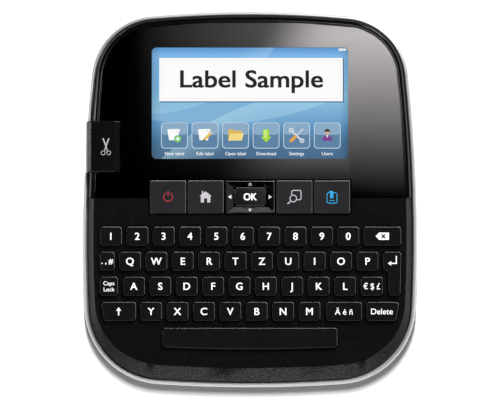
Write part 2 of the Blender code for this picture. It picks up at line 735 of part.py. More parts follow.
def make_rear_housing():
    """The rear shell: a tub whose rim is tilted like the face, standing level on the desk."""
    rim_inner = HOUSING_INSET + WALL
    rings = [
        base_ring(9.5, FLOOR_LOW),
        base_ring(7.0, FLOOR_LOW + 0.7),
        base_ring(5.3, FLOOR_LOW + 2.2),
        base_ring(4.4, FLOOR_LOW + 4.6),
        between_rings(4.4, HOUSING_INSET, FLOOR_LOW + 4.6, 0.5, 0.6),
        tilted_ring(HOUSING_INSET, HOUSING_TOP),
        tilted_ring(rim_inner, HOUSING_TOP),
        between_rings(6.6, rim_inner, FLOOR_HIGH + 4.0, 0.5, 0.6),
        base_ring(6.6, FLOOR_HIGH + 4.0),
        base_ring(7.8, FLOOR_HIGH + 1.4),
        base_ring(9.9, FLOOR_HIGH),
    ]
    housing = solid("rear_housing", [rings], case_black)
    dc_hole = along_y(circle(DC_X, DC_Z, DC_RADIUS), *REAR_WALL_Y)
    usb_hole = along_y(rounded(rectangle(*USB_X, *USB_Z), 0.8), *REAR_WALL_Y)
    cut(housing, "sockets", [dc_hole, usb_hole])
    ear_low_y, ear_high_y, ear_top = HINGE_Y - 3.0, HINGE_Y + 2.4, 6.6
    opening_left, opening_right = DOOR_LEFT_X - 0.4, DOOR_RIGHT_X + 0.4
    spans = ((opening_left - EAR_LENGTH, opening_left), (opening_right, opening_right + EAR_LENGTH))
    ear_low_z = FLOOR_HIGH - 1.0
    ears = [box_rings((low, ear_low_y, ear_low_z), (high, ear_high_y, ear_top)) for low, high in spans]
    post_low = (POST_LEFT_X, BLADE_PIVOT_Y - POST_HALF_WIDTH, FLOOR_HIGH - 0.6)
    post_high = (POST_RIGHT_X, BLADE_PIVOT_Y + POST_HALF_WIDTH, BLADE_PIVOT_Z + 3.0)
    post = box_rings(post_low, post_high)
    join(housing, "ears_and_post", ears + [post])
    opening = box_rings((opening_left, DOOR_FRONT_Y - 0.4, -2), (opening_right, HINGE_Y + 2.8, 5.5))
    cut(housing, "door_opening", [opening])
    hole = circle(HINGE_Y, HINGE_Z, HINGE_HOLE_RADIUS, 16)
    cut(housing, "hinge_holes", [along_x(hole, opening_left - HOLE_DEPTH, opening_right + HOLE_DEPTH)])
    pivot = along_x(circle(BLADE_PIVOT_Y, BLADE_PIVOT_Z, 1.6, 16), POST_LEFT_X - 1.0, POST_RIGHT_X + 6.0)
    cut(housing, "pivot_hole", [pivot])
    half_slot = SLOT_WIDTH / 2
    slot = box_rings((-90, TAPE_Y - half_slot, SLOT_LOW_Z), (-68, TAPE_Y + half_slot, SLOT_HIGH_Z))
    cut(housing, "label_slot", [slot])


def make_non_slip_foot():
    """One U-shaped rubber pad, open towards the rear, where the door's hinge is."""
    foot = solid("non_slip_foot", [[*reversed(foot_rings())]], soft_rubber, closed_loop=True)
    keep_below(foot, FOOT_END_Y)


def foot_rings():
    """The pad's section, from its outer upper edge round its sole to its inner upper edge."""
    outer, inner = FOOT_OUTER_INSET, FOOT_INNER_INSET
    return [
        base_ring(outer, FOOT_HEIGHT),
        base_ring(outer, 0.3),
        base_ring(outer + 0.3, 0.0),
        base_ring(inner - 0.3, 0.0),
        base_ring(inner, 0.3),
        base_ring(inner, FOOT_HEIGHT),
    ]


def make_keys():
    for name, corners in LETTER_KEYS.items():
        make_key(name, corners)
    for name, corners in SPECIAL_KEYS.items():
        make_key(name, corners)
    make_number_keys()
    for name, corners in FUNCTION_KEYS.items():
        make_key(name, corners, top=0.9, corner_radius=0.5)
    make_nav_pad()
    make_key("ok_button", OK_BUTTON, top=1.5, corner_radius=0.8, material=gloss_black)


make_keyboard_fascia()
make_upper_bezel()
make_glossy_panel()
make_silver_band()
make_touch_screen()
make_keypad_mat()
make_main_board()
make_keys()
make_cutter_button()
make_cutter_blade()
make_platen_roller()
make_motor_pinion()
make_drive_motor()
make_print_head()
make_tape_cassette()
make_battery_pack()
make_cassette_door()
make_rear_housing()
make_non_slip_foot()
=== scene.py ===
"""The looks of a desktop label maker: finishes, legends, the lit display, small hardware and the studio.

Everything on the tilted face is drawn in face coordinates, in metres: u to the right, v up the face and
w out of it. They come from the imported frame: the press axis of the OK button is the face's inward normal.
"""

import json
import math

import bmesh
import bpy
from mathutils import Matrix, Vector


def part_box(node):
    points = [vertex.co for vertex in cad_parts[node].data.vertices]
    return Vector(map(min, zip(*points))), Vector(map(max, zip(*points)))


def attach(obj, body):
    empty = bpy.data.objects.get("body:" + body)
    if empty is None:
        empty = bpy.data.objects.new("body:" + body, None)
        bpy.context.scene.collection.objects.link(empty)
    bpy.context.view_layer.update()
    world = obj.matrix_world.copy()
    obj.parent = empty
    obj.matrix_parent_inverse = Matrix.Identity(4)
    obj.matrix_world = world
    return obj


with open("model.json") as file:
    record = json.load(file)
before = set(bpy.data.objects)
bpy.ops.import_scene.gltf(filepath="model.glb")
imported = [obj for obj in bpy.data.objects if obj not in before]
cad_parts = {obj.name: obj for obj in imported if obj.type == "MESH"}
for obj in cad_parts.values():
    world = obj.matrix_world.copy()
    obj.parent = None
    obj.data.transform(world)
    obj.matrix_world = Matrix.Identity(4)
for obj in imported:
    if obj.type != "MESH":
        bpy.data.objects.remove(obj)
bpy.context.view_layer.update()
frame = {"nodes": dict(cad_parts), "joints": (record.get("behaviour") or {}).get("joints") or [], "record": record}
NODES = frame["nodes"]
CASE = "case"
MM = 0.001

# ---- the face's axes, from the joint that presses along its normal ----
PRESS = next(Vector(joint["axis"]) for joint in frame["joints"] if joint["name"] == "ok_button_press")
OUT = -PRESS.normalized()
UP = Vector((0.0, OUT.z, -OUT.y))
RIGHT = Vector((1.0, 0.0, 0.0))


def face_box(node):
    """(lowest, highest) corner of a CAD node in face coordinates."""
    points = [Vector((v.co.x, v.co.dot(UP), v.co.dot(OUT))) for v in NODES[node].data.vertices]
    low = Vector([min(point[i] for point in points) for i in range(3)])
    high = Vector([max(point[i] for point in points) for i in range(3)])
    return low, high


def face_matrix(u, v, w):
    """Places something drawn in its own XY plane on the face."""
    place = RIGHT * u + UP * v + OUT * w
    return Matrix.Translation(place) @ Matrix((RIGHT, UP, OUT)).transposed().to_4x4()


def node_middle(node):
    low, high = face_box(node)
    return (low.x + high.x) / 2, (low.y + high.y) / 2, high.z


# ---- materials ----
def tree_of(material):
    material.use_nodes = True
    return material.node_tree, material.node_tree.nodes["Principled BSDF"]


def noise(tree, scale, detail=4.0, stretch=None):
    """A noise value in object space, in cycles for each metre."""
    coordinates = tree.nodes.new("ShaderNodeTexCoord")
    texture = tree.nodes.new("ShaderNodeTexNoise")
    texture.inputs["Scale"].default_value = scale
    texture.inputs["Detail"].default_value = detail
    source = coordinates.outputs["Object"]
    if stretch:
        mapping = tree.nodes.new("ShaderNodeMapping")
        mapping.inputs["Scale"].default_value = stretch
        tree.links.new(source, mapping.inputs["Vector"])
        source = mapping.outputs["Vector"]
    tree.links.new(source, texture.inputs["Vector"])
    return texture.outputs["Fac"]


def ramp(tree, value, low, high, from_low=0.3, from_high=0.7):
    """The value stretched from one range to another."""
    node = tree.nodes.new("ShaderNodeMapRange")
    node.inputs["From Min"].default_value = from_low
    node.inputs["From Max"].default_value = from_high
    node.inputs["To Min"].default_value = low
    node.inputs["To Max"].default_value = high
    tree.links.new(value, node.inputs["Value"])
    return node.outputs["Result"]


def mix_colors(tree, factor, first, second):
    node = tree.nodes.new("ShaderNodeMix")
    node.data_type = "RGBA"
    for socket, color in ((node.inputs["A"], first), (node.inputs["B"], second)):
        if isinstance(color, tuple):
            socket.default_value = (*color, 1.0)
        else:
            tree.links.new(color, socket)
    tree.links.new(factor, node.inputs["Factor"])
    return node.outputs["Result"]


def add_bump(tree, shader, value, strength, distance):
    node = tree.nodes.new("ShaderNodeBump")
    node.inputs["Strength"].default_value = strength
    node.inputs["Distance"].default_value = distance
    tree.links.new(value, node.inputs["Height"])
    tree.links.new(node.outputs["Normal"], shader.inputs["Normal"])


def plastic(name, dark, light, roughness, grain_scale, grain_depth, strength=0.5, shine=0.5):
    """Moulded plastic: a fine grain in relief, and a faint drift of colour and roughness over the part."""
    material = bpy.data.materials.new(name)
    tree, shader = tree_of(material)
    shader.inputs["Specular IOR Level"].default_value = shine
    drift = ramp(tree, noise(tree, 60.0), 0.0, 1.0)
    tree.links.new(mix_colors(tree, drift, dark, light), shader.inputs["Base Color"])
    wear = ramp(tree, noise(tree, 450.0, detail=6.0), roughness[0], roughness[1])
    tree.links.new(wear, shader.inputs["Roughness"])
    add_bump(tree, shader, noise(tree, grain_scale, detail=2.0), strength, grain_depth)
    return material


def grained_fascia():
    """The fascia's plastic: fine-grained on the flat deck, with a coarse sparkling grain on its slope."""
    roughness = (0.28, 0.36)
    material = plastic("fascia_plastic", FASCIA_DARK, FASCIA_LIGHT, roughness, 3000.0, 0.00003, 0.4, 0.28)
    tree, shader = tree_of(material)
    geometry = tree.nodes.new("ShaderNodeNewGeometry")
    upright = tree.nodes.new("ShaderNodeVectorMath")
    upright.operation = "DOT_PRODUCT"
    upright.inputs[1].default_value = tuple(OUT)
    tree.links.new(geometry.outputs["True Normal"], upright.inputs[0])
    slope = ramp(tree, upright.outputs["Value"], 1.0, 0.0, 0.90, 0.99)
    grain = tree.nodes.new("ShaderNodeMath")
    grain.operation = "MULTIPLY"
    tree.links.new(slope, grain.inputs[0])
    tree.links.new(noise(tree, 1700.0, detail=1.0), grain.inputs[1])
    fine = shader.inputs["Normal"].links[0].from_node
    coarse = tree.nodes.new("ShaderNodeBump")
    coarse.inputs["Strength"].default_value = 1.0
    coarse.inputs["Distance"].default_value = 0.00028
    tree.links.new(grain.outputs["Value"], coarse.inputs["Height"])
    tree.links.new(fine.outputs["Normal"], coarse.inputs["Normal"])
    tree.links.new(coarse.outputs["Normal"], shader.inputs["Normal"])
    return material


def gloss_plastic(name, color, roughness):
    """Polished plastic: nearly mirror smooth, with faint wiping marks and a few finger smudges."""
    material = bpy.data.materials.new(name)
    tree, shader = tree_of(material)
    shader.inputs["Base Color"].default_value = (*color, 1.0)
    smudge = ramp(tree, noise(tree, 38.0, detail=7.0), roughness, roughness * 1.9, 0.45, 0.75)
    tree.links.new(smudge, shader.inputs["Roughness"])
    add_bump(tree, shader, noise(tree, 90.0, detail=1.0), 0.06, 0.00004)
    return material


def metal(name, color, roughness, grain=(1.0, 1.0, 30.0)):
    """Bare metal with a fine brushed grain along one axis."""
    material = bpy.data.materials.new(name)
    tree, shader = tree_of(material)
    shader.inputs["Metallic"].default_value = 1.0
    brushed = noise(tree, 900.0, detail=3.0, stretch=grain)
    tint = ramp(tree, brushed, 0.0, 1.0)
    tree.links.new(mix_colors(tree, tint, tuple(0.85 * c for c in color), color), shader.inputs["Base Color"])
    tree.links.new(ramp(tree, brushed, roughness, roughness * 1.4), shader.inputs["Roughness"])
    add_bump(tree, shader, brushed, 0.15, 0.00001)
    return material


def satin_silver():
    """Silver paint: fine metal flake under a satin lacquer."""
    material = bpy.data.materials.new("satin_silver")
    tree, shader = tree_of(material)
    shader.inputs["Metallic"].default_value = 0.6
    flake = ramp(tree, noise(tree, 5200.0, detail=1.0), 0.0, 1.0)
    paint = mix_colors(tree, flake, (0.40, 0.405, 0.41), (0.50, 0.505, 0.51))
    tree.links.new(paint, shader.inputs["Base Color"])
    tree.links.new(ramp(tree, noise(tree, 300.0), 0.42, 0.50), shader.inputs["Roughness"])
    add_bump(tree, shader, noise(tree, 2600.0, detail=2.0), 0.12, 0.00001)
    return material


def ink(name, color, roughness=0.5, emission=0.0):
    """Printed ink or a lit picture element, with a slight unevenness in its tone."""
    material = bpy.data.materials.new(name)
    tree, shader = tree_of(material)
    tone = ramp(tree, noise(tree, 1500.0), 0.0, 1.0)
    shade = tuple(0.96 * c for c in color)
    mixed = mix_colors(tree, tone, shade, color)
    if emission:
        shader.inputs["Base Color"].default_value = (0.01, 0.01, 0.01, 1.0)
        shader.inputs["Specular IOR Level"].default_value = FILM_SHINE
        tree.links.new(mixed, shader.inputs["Emission Color"])
        shader.inputs["Emission Strength"].default_value = emission
    else:
        tree.links.new(mixed, shader.inputs["Base Color"])
    shader.inputs["Roughness"].default_value = roughness
    return material


SCREEN_GLOW = 1.0
FILM_SHINE = 0.08

KEY_DARK, KEY_LIGHT = (0.0028, 0.0028, 0.0031), (0.0042, 0.0041, 0.0045)
BUTTON_DARK, BUTTON_LIGHT = (0.0095, 0.0090, 0.0100), (0.0135, 0.0126, 0.0138)
FASCIA_DARK, FASCIA_LIGHT = (0.0020, 0.0020, 0.0022), (0.0032, 0.0031, 0.0034)
key_plastic = plastic("key_plastic", KEY_DARK, KEY_LIGHT, (0.28, 0.34), 3600.0, 0.00003, 0.35, 0.25)
function_plastic = plastic(
    "function_plastic", BUTTON_DARK, BUTTON_LIGHT, (0.32, 0.40), 4200.0, 0.00004, 0.5, 0.35
)
fascia_plastic = grained_fascia()
cutter_plastic = plastic("cutter_plastic", FASCIA_DARK, FASCIA_LIGHT, (0.24, 0.30), 3600.0, 0.00002, 0.3, 0.3)
CASE_DARK, CASE_LIGHT = (0.006, 0.006, 0.0065), (0.009, 0.009, 0.0095)
case_plastic = plastic("case_plastic", CASE_DARK, CASE_LIGHT, (0.44, 0.56), 1900.0, 0.00012, 0.5, 0.35)
gloss_black = gloss_plastic("gloss_black", (0.0010, 0.0010, 0.0012), 0.05)
panel_black = gloss_plastic("panel_black", (0.0008, 0.0008, 0.0010), 0.03)
button_gloss = gloss_plastic("button_gloss", (0.0010, 0.0010, 0.0012), 0.10)
silver = satin_silver()
steel = metal("steel", (0.60, 0.60, 0.61), 0.25)
brass = metal("brass_contact", (0.78, 0.60, 0.28), 0.25)
rubber = plastic("rubber", (0.012, 0.012, 0.012), (0.022, 0.022, 0.022), (0.75, 0.9), 3000.0, 0.00008)
mat_rubber = plastic("mat_rubber", (0.08, 0.08, 0.085), (0.11, 0.11, 0.115), (0.6, 0.75), 2600.0, 0.00004)
board_mask = plastic("board_mask", (0.012, 0.075, 0.028), (0.02, 0.11, 0.045), (0.3, 0.45), 900.0, 0.00003)
gear_acetal = plastic("gear_acetal", (0.68, 0.66, 0.60), (0.76, 0.74, 0.69), (0.4, 0.5), 1500.0, 0.00003)
SHELL_DARK, SHELL_LIGHT = (0.16, 0.165, 0.175), (0.20, 0.205, 0.215)
cassette_shell = plastic("cassette_shell", SHELL_DARK, SHELL_LIGHT, (0.45, 0.6), 2400.0, 0.00006)
battery_wrap = plastic("battery_wrap", (0.02, 0.06, 0.20), (0.03, 0.085, 0.26), (0.22, 0.34), 200.0, 0.00005)
socket_black = plastic("socket_black", (0.01, 0.01, 0.01), (0.014, 0.014, 0.014), (0.5, 0.6), 2000.0, 0.00004)
legend_white = ink("legend_white", (0.86, 0.86, 0.86))
legend_red = ink("legend_red", (0.40, 0.022, 0.040))
legend_blue = ink("legend_blue", (0.018, 0.27, 0.52))
legend_grey = ink("legend_grey", (0.34, 0.34, 0.37))
home_grey = ink("home_grey", (0.42, 0.40, 0.43))
scissors_grey = ink("scissors_grey", (0.38, 0.38, 0.40))
label_paper = ink("label_paper", (0.62, 0.62, 0.60), 0.6)


def lit(name, red, green, blue):
    """A picture element of the display."""
    return ink(name, (red, green, blue), 0.22, SCREEN_GLOW)


# ---- CAD nodes: finish and softened edges ----
def dress(node, material, edge=0.00015, segments=2, angle=28.0):
    """Gives a CAD node its finish, welds its facets and rounds its sharp edges."""
    piece = NODES[node]
    piece.data.materials.clear()
    piece.data.materials.append(material)
    weld = piece.modifiers.new("weld", "WELD")
    weld.merge_threshold = 0.000002
    if edge:
        bevel = piece.modifiers.new("soft_edges", "BEVEL")
        bevel.width = edge
        bevel.segments = segments
        bevel.limit_method = "ANGLE"
        bevel.angle_limit = math.radians(angle)
        bevel.use_clamp_overlap = True
        bevel.harden_normals = True
    normals = piece.modifiers.new("face_weighted", "WEIGHTED_NORMAL")
    normals.keep_sharp = False
    normals.weight = 80


LETTERS = "QWERTZUIOPASDFGHJKLYXCVBNM"
SPECIAL_KEYS = ("backspace", "punctuation", "enter", "caps_lock", "currency")
SPECIAL_KEYS += ("shift", "accents", "delete", "space")
FUNCTION_BUTTONS = ("power_button", "home_button", "preview_button", "print_button")

for key in [f"key_{letter.lower()}" for letter in LETTERS] + [f"key_{name}" for name in SPECIAL_KEYS]:
    dress(key, key_plastic, edge=0.00022, segments=3)
dress("number_keys", key_plastic, edge=0.00022, segments=3)
for button in FUNCTION_BUTTONS:
    dress(button, function_plastic, edge=0.0003, segments=3)
dress("nav_pad", gloss_black, edge=0.00018, segments=3)
dress("ok_button", button_gloss, edge=0.0003, segments=3)
dress("keyboard_fascia", fascia_plastic, edge=0.0002)
dress("upper_bezel", gloss_black, edge=0.00015)
dress("glossy_panel", panel_black, edge=0.0001)
dress("silver_band", silver, edge=0.0)
dress("cutter_button", cutter_plastic, edge=0.0005, segments=4, angle=20.0)
dress("rear_housing", case_plastic, edge=0.0003, segments=2, angle=45.0)
dress("cassette_door", case_plastic, edge=0.0002)
dress("non_slip_foot", rubber, edge=0.0001)
dress("keypad_mat", mat_rubber, edge=0.0)
dress("main_board", board_mask, edge=0.0)
dress("touch_screen", panel_black, edge=0.0002)
dress("print_head", steel)
dress("drive_motor", steel, edge=0.0)
dress("cutter_blade", steel, edge=0.0001)
dress("platen_roller", rubber, edge=0.0)
dress("motor_pinion", gear_acetal, edge=0.0)
dress("tape_cassette", cassette_shell, edge=0.0003, segments=3)
dress("battery_pack", battery_wrap, edge=0.0004, segments=3)


# ---- flat artwork: closed plates drawn in the XY plane ----
def points_on_arc(x, y, radius, start, end, steps):
    """Points on an arc, with angles in degrees and both ends in the list."""
    angles = [math.radians(start + (end - start) * i / steps) for i in range(steps + 1)]
    return [(x + radius * math.cos(a), y + radius * math.sin(a)) for a in angles]


def disc(x, y, radius, steps=24):
    return points_on_arc(x, y, radius, 0.0, 360.0, steps)[:-1]


def bow(x, y, outer, inner, start=0.0, end=360.0, steps=28):
    """A ring, or part of one, as one outline. A full ring is left open by a hairline."""
    if end - start >= 360.0:
        end = start + 359.6
    return points_on_arc(x, y, outer, start, end, steps) + points_on_arc(x, y, inner, end, start, steps)


def bar(x, y, width, height):
    low_x, high_x = x - width / 2, x + width / 2
    low_y, high_y = y - height / 2, y + height / 2
    return [(low_x, low_y), (high_x, low_y), (high_x, high_y), (low_x, high_y)]


def soft_bar(x, y, width, height, radius, steps=5):
    """A rectangle with rounded corners."""
    half_x, half_y = width / 2 - radius, height / 2 - radius
    points = []
    for i, (side_x, side_y) in enumerate(((1, 1), (-1, 1), (-1, -1), (1, -1))):
        corner_x, corner_y = x + side_x * half_x, y + side_y * half_y
        points += points_on_arc(corner_x, corner_y, radius, 90.0 * i, 90.0 * i + 90.0, steps)
    return points


def frame_bar(x, y, width, height, radius, line):
    """A rounded rectangle drawn as a line: the outer outline, then the inner one back again."""
    outer = soft_bar(x, y, width, height, radius)
    inner = soft_bar(x, y, width - 2 * line, height - 2 * line, max(radius - line, radius * 0.3))
    return outer + [outer[0], inner[0]] + inner[::-1]


def stroke(start, end, width):
    """A straight line of some width."""
    a, b = Vector(start), Vector(end)
    side = Vector((a.y - b.y, b.x - a.x)).normalized() * (width / 2)
    return [tuple(a + side), tuple(a - side), tuple(b - side), tuple(b + side)]


class Artwork:
    """Collects flat plates in several materials and heights, and makes them one piece."""

    def __init__(self, name, thickness=0.06 * MM):
        self.name = name
        self.mesh = bmesh.new()
        self.materials = []
        self.thickness = thickness

    def slot(self, material):
        if material not in self.materials:
            self.materials.append(material)
        return self.materials.index(material)

    def plate(self, points, material, height=0.0):
        """One closed plate: its lower face at height, in metres. Points are in millimetres."""
        index = self.slot(material)
        apart = [(Vector(point) - Vector(points[i - 1])).length for i, point in enumerate(points)]
        clean = [point for point, distance in zip(points, apart) if distance > 1e-4]
        low = [self.mesh.verts.new((x * MM, y * MM, height)) for x, y in clean]
        high = [self.mesh.verts.new((x * MM, y * MM, height + self.thickness)) for x, y in clean]
        faces = [self.mesh.faces.new(high), self.mesh.faces.new(low[::-1])]
        count = len(clean)
        for i in range(count):
            after = (i + 1) % count
            faces.append(self.mesh.faces.new((low[i], low[after], high[after], high[i])))
        bmesh.ops.recalc_face_normals(self.mesh, faces=faces)
        for face in faces:
            face.material_index = index

    def text(self, words, x, y, cap_height, material, bold=0.0, height=0.0, squeeze=1.0):
        """Lettering centred on a point; sizes in millimetres. Bold thickens the strokes by shifted copies."""
        curve = bpy.data.curves.new("words", "FONT")
        curve.body = words
        curve.align_x = "CENTER"
        curve.size = 1.0
        curve.resolution_u = 4
        curve.extrude = 1.0
        holder = bpy.data.objects.new("words", curve)
        bpy.context.scene.collection.objects.link(holder)
        bpy.context.view_layer.update()
        graph = bpy.context.evaluated_depsgraph_get()
        flat = bpy.data.meshes.new_from_object(holder.evaluated_get(graph))
        index = self.slot(material)
        scale = cap_height / FONT_CAP_HEIGHT * MM
        depth = self.thickness / 2
        grow = Matrix.Diagonal((scale * squeeze, scale, depth, 1.0))
        middle = Matrix.Translation((0.0, -FONT_CAP_HEIGHT / 2, 0.0))
        for step, (across, along) in enumerate(BOLD_SHIFTS if bold else ((0.0, 0.0),)):
            spot = ((x + bold * across) * MM, (y + bold * along) * MM, height + depth + step * COPY_STEP)
            glyphs = bmesh.new()
            glyphs.from_mesh(flat)
            glyphs.transform(Matrix.Translation(spot) @ grow @ middle)
            bmesh.ops.remove_doubles(glyphs, verts=glyphs.verts, dist=1e-7)
            bmesh.ops.recalc_face_normals(glyphs, faces=glyphs.faces)
            for face in glyphs.faces:
                face.material_index = index
            solid = bpy.data.meshes.new("glyphs")
            glyphs.to_mesh(solid)
            glyphs.free()
            self.mesh.from_mesh(solid)
            bpy.data.meshes.remove(solid)
        bpy.data.objects.remove(holder)
        bpy.data.curves.remove(curve)
        bpy.data.meshes.remove(flat)

    def make(self, body, matrix):
        data = bpy.data.meshes.new(self.name)
        self.mesh.to_mesh(data)
        self.mesh.free()
        for material in self.materials:
            data.materials.append(material)
        piece = bpy.data.objects.new(self.name, data)
        bpy.context.scene.collection.objects.link(piece)
        piece.matrix_world = matrix
        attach(piece, body)
        return piece


FONT_CAP_HEIGHT = 0.694
BOLD_SHIFTS = ((-1.0, -0.6), (1.0, 0.6), (-1.0, 0.6), (1.0, -0.6))
COPY_STEP = 0.000001
LEGEND_CAP = 3.4
LEGEND_BOLD = 0.085
SMALL_BOLD = 0.035
INK_LIFT = 0.00001


def body_of(node):
    return next(body for body, members in frame["record"]["behaviour"]["bodies"].items() if node in members)


def on_node(artwork, node, shift=(0.0, 0.0), lift=INK_LIFT):
    """Sets the artwork down on the middle of a node's top face; shift in millimetres."""
    u, v, w = node_middle(node)
    return artwork.make(body_of(node), face_matrix(u + shift[0] * MM, v + shift[1] * MM, w + lift))


# ---- legends on the keys ----
def key_legends():
    for letter in LETTERS:
        art = Artwork(f"legend_{letter.lower()}")
        art.text(letter, 0, 0, LEGEND_CAP, legend_white, LEGEND_BOLD)
        on_node(art, f"key_{letter.lower()}")


def number_legends():
    """Ten digits, one on each cap of the joined strip."""
    low, high = face_box("number_keys")
    letter_low, letter_high = face_box("key_q")
    half_cap = (letter_high.x - letter_low.x) / 2
    first = (low.x + half_cap) / MM
    last = (high.x - half_cap) / MM
    pitch = (last - first) / 9
    middle = (first + last) / 2
    art = Artwork("legend_numbers")
    for i, digit in enumerate("1234567890"):
        art.text(digit, first + pitch * i - middle, 0, LEGEND_CAP, legend_white, LEGEND_BOLD)
    on_node(art, "number_keys")


def special_legends():
    art = Artwork("legend_backspace")
    art.plate([(-3.3, 0), (-1.5, 1.75), (3.2, 1.75), (3.2, -1.75), (-1.5, -1.75)], legend_white)
    on_node(art, "key_backspace")
    cross = Artwork("legend_backspace_cross")
    cross.plate(stroke((-0.35, -0.95), (1.55, 0.95), 0.55), key_plastic)
    cross.plate(stroke((-0.35, 0.95), (1.55, -0.95), 0.55), key_plastic, 0.03 * MM)
    on_node(cross, "key_backspace", lift=INK_LIFT + 0.06 * MM)

    art = Artwork("legend_punctuation")
    art.text(". , #", 0, 0, 2.5, legend_white, LEGEND_BOLD)
    on_node(art, "key_punctuation")

    art = Artwork("legend_enter")
    art.plate(stroke((1.9, 2.4), (1.9, -1.2), 0.55), legend_white)
    art.plate(stroke((2.17, -1.2), (-1.0, -1.2), 0.55), legend_white, 0.01 * MM)
    art.plate([(-2.2, -1.2), (-0.6, -0.1), (-0.6, -2.3)], legend_white, 0.02 * MM)
    on_node(art, "key_enter", (0.1, 6.2))

    art = Artwork("legend_caps_lock")
    art.text("Caps", 0, 1.45, 1.9, legend_white, SMALL_BOLD)
    art.text("Lock", 0, -1.5, 1.9, legend_white, SMALL_BOLD)
    on_node(art, "key_caps_lock")

    art = Artwork("legend_currency")
    art.text("€ $ £", 0, 0, 2.9, legend_white, SMALL_BOLD, squeeze=0.85)
    on_node(art, "key_currency")

    art = Artwork("legend_shift")
    art.plate(stroke((0, -1.9), (0, 0.6), 0.6), legend_white)
    art.plate([(-1.25, 0.3), (1.25, 0.3), (0, 1.95)], legend_white, 0.01 * MM)
    on_node(art, "key_shift")

    art = Artwork("legend_accents")
    art.text("Ä é ñ", 0, -0.2, 2.75, legend_white, SMALL_BOLD)
    on_node(art, "key_accents")

    art = Artwork("legend_delete")
    art.text("Delete", -0.4, 0, 2.75, legend_white, SMALL_BOLD)
    on_node(art, "key_delete")


# ---- legends on the function buttons ----
def power_symbol():
    art = Artwork("power_symbol")
    art.plate(bow(0, 0, 2.3, 1.93, 120.0, 420.0), legend_red)
    art.plate(bar(0, 1.55, 0.4, 2.6), legend_red, 0.01 * MM)
    on_node(art, "power_button")


def home_symbol():
    """A small house: a roof with a chimney, and walls round an open door."""
    art = Artwork("home_symbol")
    roof = [(-3.0, 0.35), (-1.75, 1.3), (-1.75, 2.9), (-1.15, 2.9), (-1.15, 1.85), (0, 2.75), (3.0, 0.35)]
    right_wall = [(2.3, 0.35), (2.3, -2.7), (0.75, -2.7), (0.75, -0.7)]
    left_wall = [(-x, y) for x, y in reversed(right_wall)]
    art.plate(roof + right_wall + left_wall, home_grey)
    on_node(art, "home_button")


def preview_symbol():
    """A label outline with a magnifier in front of its lower left corner."""
    art = Artwork("preview_symbol")
    art.plate(frame_bar(0.95, 0.9, 5.0, 5.0, 1.0, 0.5), legend_grey)
    art.plate(bow(-0.55, -0.75, 1.85, 1.35), legend_grey, 0.02 * MM)
    art.plate(disc(-0.55, -0.75, 1.34), function_plastic, 0.015 * MM)
    art.plate(stroke((-1.8, -2.0), (-3.3, -3.4), 0.65), legend_grey, 0.03 * MM)
    on_node(art, "preview_button")


def print_symbol():
    """A label that comes up out of a rounded tray."""
    art = Artwork("print_symbol")
    art.plate(frame_bar(0, -0.5, 5.2, 5.4, 1.1, 0.36), legend_blue)
    label = [(-0.9, -0.6), (-0.9, 1.8), (-1.5, 2.9), (0.2, 2.9), (0.7, 2.2), (0.7, -0.6)]
    art.plate(label, legend_blue, 0.02 * MM)
    art.plate(bar(0, -1.75, 2.4, 0.36), legend_blue, 0.02 * MM)
    on_node(art, "print_button")


def ok_symbol():
    art = Artwork("ok_symbol")
    art.text("OK", 0, 0, 3.25, legend_white, 0.13, squeeze=0.92)
    on_node(art, "ok_button")


NAV_RIM = 0.5
NAV_GAP = 0.35
NAV_TOP_DROP = 1.6
ARROW_SPOT = 0.52


def nav_arrows():
    """White triangles that lie on the four sloping facets of the navigation ring."""
    low, high = face_box("nav_pad")
    hole_low, hole_high = face_box("ok_button")
    gap = NAV_GAP * MM
    rim = NAV_RIM * MM
    drop = NAV_TOP_DROP * MM
    middle_u = (low.x + high.x) / 2
    middle_v = (hole_low.y + hole_high.y) / 2
    facets = {
        "up": (Vector((middle_u, high.y - rim)), Vector((middle_u, hole_high.y + gap))),
        "down": (Vector((middle_u, low.y + rim)), Vector((middle_u, hole_low.y - gap))),
        "left": (Vector((low.x + rim, middle_v)), Vector((hole_low.x - gap, middle_v))),
        "right": (Vector((high.x - rim, middle_v)), Vector((hole_high.x + gap, middle_v))),
    }
    for side, (outer, inner) in facets.items():
        run = outer - inner
        slope = math.atan2(drop, run.length)
        spot = inner.lerp(outer, ARROW_SPOT)
        height = high.z - drop * (1.0 - ARROW_SPOT) + 0.03 * MM
        turn = Matrix.Rotation(math.atan2(run.y, run.x) - math.pi / 2, 4, "Z")
        art = Artwork(f"nav_arrow_{side}")
        art.plate([(-1.1, -0.9), (1.1, -0.9), (0, 0.9)], legend_white)
        art.make("nav_pad", face_matrix(spot.x, spot.y, height) @ turn @ Matrix.Rotation(slope, 4, "X"))


CUTTER_PLATE_U = -69.45


def scissors_symbol():
    """Open scissors: two finger rings below, two crossing blades above."""
    art = Artwork("scissors_symbol")
    art.plate(bow(-1.35, -3.1, 1.1, 0.8), scissors_grey)
    art.plate(bow(1.35, -3.1, 1.1, 0.8), scissors_grey)
    for side in (-1, 1):
        blade = [(-0.95, -2.2), (-0.6, -2.3), (0.25, 0.0), (1.75, 3.9), (1.1, 4.0), (-0.15, 0.6)]
        art.plate([(x * side, y) for x, y in blade], scissors_grey, 0.01 * MM * (side + 2))
    low, high = face_box("cutter_button")
    middle_v = (low.y + high.y) / 2
    art.make("cutter_button", face_matrix(CUTTER_PLATE_U * MM, middle_v, high.z - 0.03 * MM))


# ---- the display ----
SCREEN_HALF_WIDTH, SCREEN_HALF_HEIGHT = 0.0474, 0.027
SCREEN_TONES = (
    (0.16, (0.060, 0.17, 0.31)),
    (0.34, (0.12, 0.32, 0.57)),
    (0.55, (0.15, 0.41, 0.66)),
    (0.93, (0.20, 0.45, 0.78)),
)
